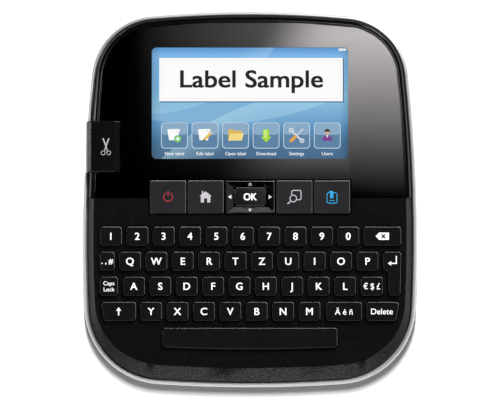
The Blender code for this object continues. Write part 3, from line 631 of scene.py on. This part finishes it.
# radius, centre across, centre along, width and strength of each band
SCREEN_BANDS = (
    (0.11, 0.035, -0.105, 0.016, 0.28),
    (0.075, -0.05, 0.070, 0.012, 0.20),
    (0.16, -0.02, 0.150, 0.02, 0.22),
)


def screen_glow_material():
    """The display's background: light blue above, deeper blue below, with soft curved bands of light."""
    material = bpy.data.materials.new("screen_glow")
    tree, shader = tree_of(material)
    coordinates = tree.nodes.new("ShaderNodeTexCoord")
    split = tree.nodes.new("ShaderNodeSeparateXYZ")
    tree.links.new(coordinates.outputs["Object"], split.inputs["Vector"])
    across, along = split.outputs["X"], split.outputs["Y"]
    height = ramp(tree, along, 0.0, 1.0, -SCREEN_HALF_HEIGHT, SCREEN_HALF_HEIGHT)
    colors = tree.nodes.new("ShaderNodeValToRGB")
    colors.color_ramp.elements[0].color = (0.055, 0.13, 0.23, 1.0)
    colors.color_ramp.elements[1].color = (0.10, 0.30, 0.60, 1.0)
    for position, color in SCREEN_TONES:
        element = colors.color_ramp.elements.new(position)
        element.color = (*color, 1.0)
    tree.links.new(height, colors.inputs["Fac"])
    base = colors.outputs["Color"]
    for band in SCREEN_BANDS:
        base = add_band(tree, base, coordinates, *band)
    edge = ramp(tree, absolute(tree, across), 1.0, 0.72, 0.043, SCREEN_HALF_WIDTH)
    shaded = tree.nodes.new("ShaderNodeVectorMath")
    shaded.operation = "SCALE"
    tree.links.new(base, shaded.inputs[0])
    tree.links.new(edge, shaded.inputs["Scale"])
    shader.inputs["Base Color"].default_value = (0.01, 0.01, 0.012, 1.0)
    shader.inputs["Roughness"].default_value = 0.22
    shader.inputs["Specular IOR Level"].default_value = FILM_SHINE
    tree.links.new(shaded.outputs["Vector"], shader.inputs["Emission Color"])
    shader.inputs["Emission Strength"].default_value = SCREEN_GLOW
    return material


def absolute(tree, value):
    node = tree.nodes.new("ShaderNodeMath")
    node.operation = "ABSOLUTE"
    tree.links.new(value, node.inputs[0])
    return node.outputs["Value"]


def add_band(tree, base, coordinates, radius, centre_x, centre_y, width, strength):
    """Lightens the picture inside a circle, most at its rim, so that the rim reads as a soft swoosh."""
    distance = tree.nodes.new("ShaderNodeVectorMath")
    distance.operation = "DISTANCE"
    tree.links.new(coordinates.outputs["Object"], distance.inputs[0])
    distance.inputs[1].default_value = (centre_x, centre_y, 0.0)
    inside = ramp(tree, distance.outputs["Value"], 0.0, strength, radius - width, radius)
    cut_off = ramp(tree, distance.outputs["Value"], 1.0, 0.0, radius, radius + 0.0004)
    product = tree.nodes.new("ShaderNodeMath")
    product.operation = "MULTIPLY"
    tree.links.new(inside, product.inputs[0])
    tree.links.new(cut_off, product.inputs[1])
    return mix_colors(tree, product.outputs["Value"], base, (0.55, 0.85, 0.95))


MODULE_BORDER = 3.6
SCREEN_LAYER = 0.05 * MM


def draw_display():
    """The lit picture under the touch film: a label field, six app buttons with icons, and a battery mark."""
    low, high = face_box("touch_screen")
    width = (high.x - low.x) / MM - 2 * MODULE_BORDER
    height = (high.y - low.y) / MM - 2 * MODULE_BORDER
    middle = face_matrix((low.x + high.x) / 2, (low.y + high.y) / 2, high.z + INK_LIFT)
    glow = Artwork("screen_picture", 0.04 * MM)
    glow.plate(soft_bar(0, 0, width + 1.4, height + 1.4, 1.2), screen_glow_material())
    glow.make(CASE, middle)
    art = Artwork("screen_graphics", 0.02 * MM)
    white = lit("lit_white", 0.97, 0.97, 0.97)
    black = lit("lit_black", 0.004, 0.004, 0.004)
    pale = lit("lit_pale", 0.80, 0.80, 0.80)
    field_x, field_y, field_w, field_h = 0.5, 11.5, 88.7, 21.0
    level = [SCREEN_LAYER * i + 0.045 * MM for i in range(8)]
    shadow = bar(field_x + 0.4, field_y - 0.4, field_w + 0.3, field_h + 0.3)
    art.plate(shadow, lit("lit_shadow", 0.045, 0.13, 0.25), level[0] - 0.02 * MM)
    art.plate(bar(field_x, field_y, field_w, field_h), white, level[0])
    art.plate(frame_bar(field_x, field_y, field_w - 2.2, field_h - 2.2, 0.2, 0.22), pale, level[1])
    art.text("Label Sample", field_x, field_y + 0.4, 8.2, black, 0.24, level[1], squeeze=1.13)
    draw_apps(art, level)
    art.plate(bar(44.5, 26.0, 3.4, 1.2), pale, level[1])
    art.plate(bar(46.4, 26.0, 0.5, 0.6), pale, level[1])
    art.make(CASE, middle)


def draw_apps(art, level):
    """Six rounded app buttons in a row, each with its icon and a short caption."""
    rim = lit("lit_rim", 0.56, 0.70, 0.82)
    face = lit("lit_face", 0.10, 0.22, 0.37)
    gloss = lit("lit_gloss", 0.25, 0.40, 0.56)
    white = lit("lit_caption", 0.80, 0.86, 0.92)
    icons = (page_with_plus, page_with_pencil, open_folder, down_arrow, crossed_tools, plain_user)
    captions = ("New label", "Edit label", "Open label", "Download", "Settings", "Users")
    first_x, pitch, centre_y, size = -36.5, 14.76, -15.6, 12.9
    for i, (icon, caption) in enumerate(zip(icons, captions)):
        x = first_x + pitch * i
        art.plate(soft_bar(x, centre_y, size, size - 0.3, 1.7), rim, level[1])
        art.plate(soft_bar(x, centre_y, size - 0.7, size - 1.0, 1.5), face, level[2])
        art.plate(soft_bar(x, centre_y + 3.2, size - 0.8, size * 0.44, 1.4), gloss, level[3])
        icon(art, x, centre_y, level[4:])
        art.text(caption, x, -24.3, 1.6, white, 0.04, level[2])


def moved(points, x, y):
    return [(x + point[0], y + point[1]) for point in points]


def page(art, x, y, level):
    """A white page whose upper corner curls over."""
    sheet = lit("lit_page", 0.97, 0.97, 0.95)
    curl = lit("lit_curl", 0.55, 0.57, 0.60)
    art.plate(moved(((-3.4, 3.0), (1.5, 3.2), (2.2, 1.4), (1.4, -2.4), (-2.6, -2.2)), x, y), sheet, level[0])
    art.plate(disc(x + 2.0, y + 2.35, 0.85, 16), sheet, level[0] + 0.005 * MM)
    art.plate(bow(x + 2.0, y + 2.35, 0.85, 0.55, 150.0, 400.0, 12), curl, level[1])


def page_with_plus(art, x, y, level):
    page(art, x, y, level)
    art.plate(disc(x + 1.6, y - 1.6, 1.75), lit("lit_green", 0.16, 0.55, 0.14), level[1])
    white = lit("lit_plus", 0.90, 0.97, 0.88)
    art.plate(bar(x + 1.6, y - 1.6, 2.1, 0.6), white, level[2])
    art.plate(bar(x + 1.6, y - 1.6, 0.6, 2.1), white, level[3])


def page_with_pencil(art, x, y, level):
    page(art, x, y, level)
    pencil = stroke((x - 0.2, y - 1.9), (x + 3.2, y + 1.6), 1.25)
    eraser = stroke((x + 2.7, y + 1.1), (x + 3.4, y + 1.8), 1.3)
    tip = moved(((-0.65, -1.5), (0.25, -2.4), (-1.1, -2.9)), x, y)
    art.plate(pencil, lit("lit_pencil", 0.82, 0.50, 0.08), level[1])
    art.plate(eraser, lit("lit_eraser", 0.62, 0.60, 0.58), level[2])
    art.plate(tip, lit("lit_tip", 0.12, 0.08, 0.05), level[2])


def open_folder(art, x, y, level):
    tab = ((-3.5, -2.3), (-3.5, 2.6), (-3.1, 3.0), (-1.2, 3.0), (-0.7, 2.4))
    back = tab + ((2.9, 2.4), (3.1, 2.1), (2.6, -2.3))
    front = ((-3.5, -2.5), (-2.6, 0.9), (3.9, 1.1), (3.1, -2.4))
    art.plate(moved(back, x, y), lit("lit_folder_back", 0.72, 0.47, 0.10), level[0])
    art.plate(moved(front, x, y), lit("lit_folder", 0.90, 0.70, 0.24), level[1])


def down_arrow(art, x, y, level):
    outline = ((-1.5, 3.0), (-1.5, -0.6), (-2.6, -0.6), (0, -3.4), (2.6, -0.6), (1.5, -0.6), (1.5, 3.0))
    art.plate(moved(outline, x, y), lit("lit_arrow", 0.36, 0.68, 0.04), level[0])
    art.plate(bar(x - 0.3, y + 0.8, 1.7, 3.6), lit("lit_arrow_light", 0.60, 0.84, 0.20), level[1])


def crossed_tools(art, x, y, level):
    """A spanner and a screwdriver, crossed."""
    steel_grey = lit("lit_spanner", 0.66, 0.70, 0.76)
    handle = lit("lit_handle", 0.76, 0.36, 0.05)
    art.plate(stroke((x - 2.6, y + 2.4), (x + 2.4, y - 2.4), 0.85), steel_grey, level[0])
    art.plate(bow(x - 2.6, y + 2.5, 1.25, 0.55, -20.0, 250.0, 14), steel_grey, level[1])
    art.plate(bow(x + 2.6, y - 2.5, 1.15, 0.5), steel_grey, level[1])
    art.plate(stroke((x - 0.4, y - 0.4), (x + 3.2, y + 3.3), 0.6), steel_grey, level[2])
    art.plate(stroke((x - 3.2, y - 3.0), (x - 0.2, y - 0.1), 1.5), handle, level[3])


def plain_user(art, x, y, level):
    """A featureless head and shoulders."""
    hair = points_on_arc(x, y + 1.8, 1.45, 0.0, 180.0, 14)
    shoulders = points_on_arc(x, y - 2.2, 2.4, -10.0, 190.0, 18)
    collar = moved(((-0.6, 0.15), (0.6, 0.15), (0, -1.1)), x, y)
    art.plate(disc(x, y + 1.7, 1.35), lit("lit_head", 0.62, 0.42, 0.30), level[0])
    art.plate(hair, lit("lit_hair", 0.05, 0.04, 0.045), level[1])
    art.plate(shoulders, lit("lit_jacket", 0.20, 0.045, 0.30), level[1])
    art.plate(collar, lit("lit_collar", 0.85, 0.85, 0.86), level[2])


# ---- small hardware on the case ----
def turned_piece(name, profile, material, body, matrix, steps=28):
    """A turned solid from (radius, height) pairs in millimetres, from its lower face to its upper one."""
    mesh = bmesh.new()
    rings = []
    angles = [2 * math.pi * i / steps for i in range(steps)]
    for radius, height in profile:
        around = [(radius * MM * math.cos(a), radius * MM * math.sin(a), height * MM) for a in angles]
        rings.append([mesh.verts.new(point) for point in around])
    for low, high in zip(rings, rings[1:]):
        for i in range(steps):
            mesh.faces.new((low[i], low[(i + 1) % steps], high[(i + 1) % steps], high[i]))
    mesh.faces.new(rings[0][::-1])
    mesh.faces.new(rings[-1])
    bmesh.ops.recalc_face_normals(mesh, faces=mesh.faces)
    data = bpy.data.meshes.new(name)
    mesh.to_mesh(data)
    mesh.free()
    data.materials.append(material)
    data.shade_smooth()
    data.set_sharp_from_angle(angle=math.radians(35))
    piece = bpy.data.objects.new(name, data)
    bpy.context.scene.collection.objects.link(piece)
    piece.matrix_world = matrix
    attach(piece, body)
    return piece


DC_X, USB_X, SOCKET_Z = 44.0, 26.2, 18.0
SOCKET_DEPTH = 5.2


def socket_inserts():
    """The inside of the DC inlet and of the small data socket, set back in the rear wall."""
    wall_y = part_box("rear_housing")[1].y - SOCKET_DEPTH * MM
    inlet = Matrix.Translation((DC_X * MM, wall_y, SOCKET_Z * MM)) @ Matrix.Rotation(math.pi / 2, 4, "X")
    barrel = ((3.3, 4.0), (3.3, -1.6), (2.75, -1.6), (2.75, 3.0))
    pin = ((0.5, 3.4), (0.85, 3.2), (0.85, -1.0), (0.6, -1.3))
    turned_piece("dc_inlet_barrel", barrel, socket_black, CASE, inlet)
    turned_piece("dc_inlet_pin", pin, brass, CASE, inlet)
    data_spot = Matrix.Translation((USB_X * MM, wall_y - 1.0 * MM, SOCKET_Z * MM))
    data_socket = data_spot @ Matrix.Rotation(-math.pi / 2, 4, "X")
    shell = Artwork("data_socket_shell", 2.6 * MM)
    shell.plate(frame_bar(0, 0, 7.9, 2.8, 0.7, 0.3), steel)
    shell.make(CASE, data_socket)
    tongue = Artwork("data_socket_tongue", 1.8 * MM)
    tongue.plate(bar(0, 0.2, 5.4, 0.7), socket_black)
    tongue.make(CASE, data_socket)


def facing_down(x, y, z):
    """A frame on a downward-facing surface, with its own Z towards the desk; millimetres."""
    return Matrix.Translation((x * MM, y * MM, z)) @ Matrix.Rotation(math.radians(180.0), 4, "X")


SCREW_PLACES = ((-50.0, -58.0), (50.0, -58.0), (-55.5, 62.0), (56.5, 62.0))


def underside_details():
    """Four screws and a blank plate under the case, and grip ribs under the door's front edge."""
    case_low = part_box("rear_housing")[0].z
    head = ((2.5, -0.3), (2.5, 0.02), (2.2, 0.2), (0.0008, 0.28))
    for i, (x, y) in enumerate(SCREW_PLACES):
        turned_piece(f"case_screw_{i + 1}", head, steel, CASE, facing_down(x, y, case_low))
        cross = Artwork(f"case_screw_cross_{i + 1}", 0.03 * MM)
        cross.plate(bar(0, 0, 2.6, 0.55), socket_black)
        cross.plate(bar(0, 0, 0.55, 2.6), socket_black, 0.01 * MM)
        cross.make(CASE, facing_down(x, y, case_low - 0.26 * MM))
    plate = Artwork("blank_plate", 0.08 * MM)
    plate.plate(soft_bar(0, 0, 52, 22, 1.5), label_paper)
    plate.plate(frame_bar(0, 0, 49.5, 19.5, 1.0, 0.25), legend_grey, 0.02 * MM)
    plate.make(CASE, facing_down(0, -28, case_low))
    door_low, door_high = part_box("cassette_door")
    middle_x = (door_low.x + door_high.x) / 2 / MM
    ribs = Artwork("door_grip_ribs", 0.25 * MM)
    for i in range(5):
        ribs.plate(soft_bar(0, 2.2 * i, 24.0 - 2.4 * i, 0.9, 0.44), case_plastic)
    ribs.make("cassette_door", facing_down(middle_x, door_low.y / MM + 13.5, door_low.z))


def bay_details():
    """What shows when the door is open: the cassette's hubs and blank label, and the battery's label."""
    low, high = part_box("tape_cassette")
    middle_x, middle_y = (low.x + high.x) / 2 / MM, (low.y + high.y) / 2 / MM
    ring = ((6.4, -0.2), (6.4, 0.12), (6.0, 0.22), (4.4, 0.22), (4.2, -0.1))
    hub = ((3.4, -0.1), (3.4, 0.1), (3.1, 0.2), (1.5, 0.2), (1.4, -0.1))
    for side, x in (("left", middle_x - 13.5), ("right", middle_x + 13.5)):
        place = facing_down(x, middle_y + 6.0, low.z)
        turned_piece(f"cassette_ring_{side}", ring, cassette_shell, CASE, place)
        turned_piece(f"cassette_hub_{side}", hub, gear_acetal, CASE, place)
    label = Artwork("cassette_label", 0.08 * MM)
    label.plate(soft_bar(0, 0, 40, 13, 1.2), label_paper)
    label.make(CASE, facing_down(middle_x, middle_y - 13.5, low.z))
    cell_low, cell_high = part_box("battery_pack")
    cell_x, cell_y = (cell_low.x + cell_high.x) / 2 / MM, (cell_low.y + cell_high.y) / 2 / MM
    stripe = Artwork("battery_label", 0.08 * MM)
    stripe.plate(soft_bar(0, 0, 26, 14, 1.0), label_paper)
    stripe.make(CASE, facing_down(cell_x, cell_y, cell_low.z))


# ---- studio ----
FLOOR_SIZE = 5.0


def pale_floor():
    """A plain pale floor that runs well past the view."""
    mesh = bmesh.new()
    corners = bar(0.0, 0.0, FLOOR_SIZE, FLOOR_SIZE)
    mesh.faces.new([mesh.verts.new((x, y, 0.0)) for x, y in corners])
    data = bpy.data.meshes.new("floor")
    mesh.to_mesh(data)
    mesh.free()
    material = bpy.data.materials.new("floor_pale")
    tree, shader = tree_of(material)
    tone = ramp(tree, noise(tree, 3.0), 0.0, 1.0)
    pale = mix_colors(tree, tone, (0.90, 0.90, 0.90), (0.92, 0.92, 0.92))
    tree.links.new(pale, shader.inputs["Base Color"])
    shader.inputs["Roughness"].default_value = 0.6
    data.materials.append(material)
    floor = bpy.data.objects.new("floor", data)
    bpy.context.scene.collection.objects.link(floor)
    return floor


def area_light(name, place, target, size, power, color=(1.0, 1.0, 1.0)):
    light = bpy.data.lights.new(name, "AREA")
    light.shape = "RECTANGLE"
    light.size, light.size_y = size
    light.energy = power
    light.color = color
    holder = bpy.data.objects.new(name, light)
    bpy.context.scene.collection.objects.link(holder)
    holder.location = place
    holder.rotation_euler = (Vector(target) - Vector(place)).to_track_quat("-Z", "Y").to_euler()
    return holder


CARD_HEIGHT = 1.6
CARD_STRENGTH = 13.0
CARD_TINT = (1.0, 0.955, 0.945)
CARD_HALF_WIDTH = 0.092
CARD_LOW_V, CARD_HIGH_V = -0.004, 0.094
RISE_LOW_V, RISE_HIGH_V = -0.001, 0.079
GLOW_POWER = 1.65
EDGE_SLANT = 0.355
EDGE_LEFT, EDGE_RIGHT = -0.024, 0.014
FAINT_LEFT, FAINT_RIGHT = -0.055, 0.008
EDGE_SHARE, FAINT_SHARE = 0.86, 0.14
MIRROR_NODES = ("glossy_panel", "upper_bezel")


def add_math(tree, kind, first, second):
    node = tree.nodes.new("ShaderNodeMath")
    node.operation = kind
    for socket, value in zip(node.inputs, (first, second)):
        if isinstance(value, float):
            socket.default_value = value
        else:
            tree.links.new(value, socket)
    return node.outputs["Value"]


def reflector_glow(spread):
    """Light that grows towards the card's top, and is strong only right of a slanted soft edge."""
    material = bpy.data.materials.new("reflector_glow")
    material.use_nodes = True
    tree = material.node_tree
    tree.nodes.clear()
    coordinates = tree.nodes.new("ShaderNodeTexCoord")
    split = tree.nodes.new("ShaderNodeSeparateXYZ")
    tree.links.new(coordinates.outputs["Object"], split.inputs["Vector"])
    across = add_math(tree, "DIVIDE", split.outputs["X"], spread)
    along = add_math(tree, "DIVIDE", split.outputs["Y"], spread)
    rise = add_math(tree, "POWER", ramp(tree, along, 0.0, 1.0, RISE_LOW_V, RISE_HIGH_V), GLOW_POWER)
    past_edge = add_math(tree, "SUBTRACT", across, add_math(tree, "MULTIPLY", along, EDGE_SLANT))
    edge = tree.nodes.new("ShaderNodeMapRange")
    edge.interpolation_type = "SMOOTHSTEP"
    edge.inputs["From Min"].default_value = EDGE_LEFT
    edge.inputs["From Max"].default_value = EDGE_RIGHT
    edge.inputs["To Max"].default_value = EDGE_SHARE
    tree.links.new(past_edge, edge.inputs["Value"])
    faint = ramp(tree, across, 0.0, FAINT_SHARE, FAINT_LEFT, FAINT_RIGHT)
    both = add_math(tree, "ADD", edge.outputs["Result"], faint)
    glow = tree.nodes.new("ShaderNodeEmission")
    glow.inputs["Color"].default_value = (*CARD_TINT, 1.0)
    strength = add_math(tree, "MULTIPLY", add_math(tree, "MULTIPLY", both, rise), CARD_STRENGTH)
    tree.links.new(strength, glow.inputs["Strength"])
    output = tree.nodes.new("ShaderNodeOutputMaterial")
    tree.links.new(glow.outputs["Emission"], output.inputs["Surface"])
    return material


def reflector(middle, camera_place):
    """A soft card where the camera sees it mirrored in the glossy panel; it lights nothing else."""
    view = (middle - camera_place).normalized()
    mirrored = view - 2.0 * view.dot(OUT) * OUT
    centre = middle + mirrored * (CARD_HEIGHT / mirrored.dot(OUT))
    spread = 1.0 + CARD_HEIGHT / (camera_place - middle).dot(OUT)
    mesh = bmesh.new()
    card_middle, card_height = (CARD_LOW_V + CARD_HIGH_V) / 2, CARD_HIGH_V - CARD_LOW_V
    spots = bar(0.0, card_middle, 2 * CARD_HALF_WIDTH, card_height)
    mesh.faces.new([mesh.verts.new((u * spread, v * spread, 0.0)) for u, v in spots])
    data = bpy.data.meshes.new("reflector")
    mesh.to_mesh(data)
    mesh.free()
    data.materials.append(reflector_glow(spread))
    card = bpy.data.objects.new("reflector", data)
    bpy.context.scene.collection.objects.link(card)
    card.matrix_world = Matrix.Translation(centre) @ Matrix((RIGHT, UP, OUT)).transposed().to_4x4()
    card.visible_camera = False
    card.visible_diffuse = False
    card.visible_shadow = False
    mirrors = bpy.data.collections.new("mirror_faces")
    for node in MIRROR_NODES:
        mirrors.objects.link(NODES[node])
    card.light_linking.receiver_collection = mirrors


def share_light(lamps, name, pieces, state="EXCLUDE"):
    """The lamps leave these pieces unlit, or with INCLUDE they light nothing else. Shadows stay."""
    receivers = bpy.data.collections.new(name)
    for piece in pieces:
        receivers.objects.link(piece)
    for entry in receivers.collection_objects:
        entry.light_linking.link_state = state
    for lamp in lamps:
        lamp.light_linking.receiver_collection = receivers


EDGE_LIGHTS_SKIP = ("silver_band", "keyboard_fascia", "rear_housing", "cassette_door", "cutter_button")


def let_light_past(lamps, piece):
    """The piece casts no shadow in these lamps' light."""
    blockers = bpy.data.collections.new("blockers")
    blockers.objects.link(piece)
    for entry in blockers.collection_objects:
        entry.light_linking.link_state = "EXCLUDE"
    for lamp in lamps:
        lamp.light_linking.blocker_collection = blockers


def studio():
    world = bpy.data.worlds.new("studio")
    bpy.context.scene.world = world
    world.use_nodes = True
    background = world.node_tree.nodes["Background"]
    background.inputs["Color"].default_value = (0.95, 0.97, 1.0, 1.0)
    background.inputs["Strength"].default_value = 0.03
    floor = pale_floor()
    middle = (0, 0, 0.03)
    key = area_light("key_light", (0.9, 1.35, 1.15), middle, (0.7, 0.7), 76.0)
    left = area_light("left_strip", (-1.5, 0.1, 0.9), middle, (0.12, 1.2), 11.0)
    corner = area_light("corner_light", (-0.95, 1.2, 1.1), middle, (0.22, 0.22), 5.0)
    right_edges = area_light("right_edges", (1.9, 0.3, 0.5), middle, (1.6, 0.25), 40.0)
    top_edges = area_light("top_edges", (0.2, 2.0, 0.5), middle, (2.0, 0.25), 50.0)
    front = area_light("front_fill", (0.0, -1.4, 0.6), middle, (1.8, 0.3), 14.0)
    floor_light = area_light("floor_light", (0.0, 0.10, 1.6), (0, 0, 0), (0.06, 0.5), 46.0)
    floor_fill = area_light("floor_fill", (0.0, -1.0, 1.3), (0, 0, 0), (1.0, 1.0), 6.0)
    panel, bezel = NODES["glossy_panel"], NODES["upper_bezel"]
    ring, button = NODES["nav_pad"], NODES["ok_button"]
    ring_glow = area_light("ring_glow", (0.0, 1.5, 1.0), middle, (0.6, 0.3), 0.9)
    ring_side = area_light("ring_side", (1.33, -0.1, 1.25), middle, (0.5, 0.5), 0.45)
    ok_glow = area_light("ok_glow", (0.085, -0.088, 1.60), middle, (0.12, 0.12), 0.4)
    share_light((floor_light, floor_fill), "floor_only", (floor,), "INCLUDE")
    share_light((corner,), "bezel_only", (bezel,), "INCLUDE")
    share_light((ring_glow, ring_side), "ring_only", (ring,), "INCLUDE")
    share_light((ok_glow,), "button_only", (button,), "INCLUDE")
    share_light((left,), "not_floor", (floor,))
    share_light((key,), "not_panel", (floor, panel))
    share_light((front,), "not_ring", (floor, panel, ring))
    outer = [NODES[node] for node in EDGE_LIGHTS_SKIP]
    share_light((right_edges, top_edges), "keys_and_ring", (floor, panel, bezel, button, *outer))
    let_light_past((ring_glow, ring_side), button)


CAMERA_DISTANCE = 1.7
CAMERA_ELEVATION = math.radians(78.0)
FRAME_WIDTH = 0.2410
SENSOR = 36.0
AIM_DROP = 0.0018


def aim_camera():
    """A long lens, almost square to the face, with the object a little above the middle of the view."""
    panel_high = face_box("glossy_panel")[1]
    fascia_low = face_box("keyboard_fascia")[0]
    middle = UP * ((panel_high.y + fascia_low.y) / 2) + OUT * panel_high.z
    toward = Vector((0.0, -math.cos(CAMERA_ELEVATION), math.sin(CAMERA_ELEVATION)))
    turn = (-toward).to_track_quat("-Z", "Y")
    image_up = turn @ Vector((0.0, 1.0, 0.0))
    camera = bpy.data.cameras.new("camera")
    camera.sensor_width = SENSOR
    camera.lens = SENSOR * CAMERA_DISTANCE / FRAME_WIDTH
    holder = bpy.data.objects.new("camera", camera)
    bpy.context.scene.collection.objects.link(holder)
    holder.location = middle + toward * CAMERA_DISTANCE - image_up * AIM_DROP
    holder.rotation_euler = turn.to_euler()
    bpy.context.scene.camera = holder
    bpy.context.scene.view_settings.view_transform = "Standard"
    return middle, holder.location.copy()


key_legends()
number_legends()
special_legends()
power_symbol()
home_symbol()
preview_symbol()
print_symbol()
ok_symbol()
nav_arrows()
scissors_symbol()
draw_display()
socket_inserts()
underside_details()
bay_details()
studio()
reflector(*aim_camera())
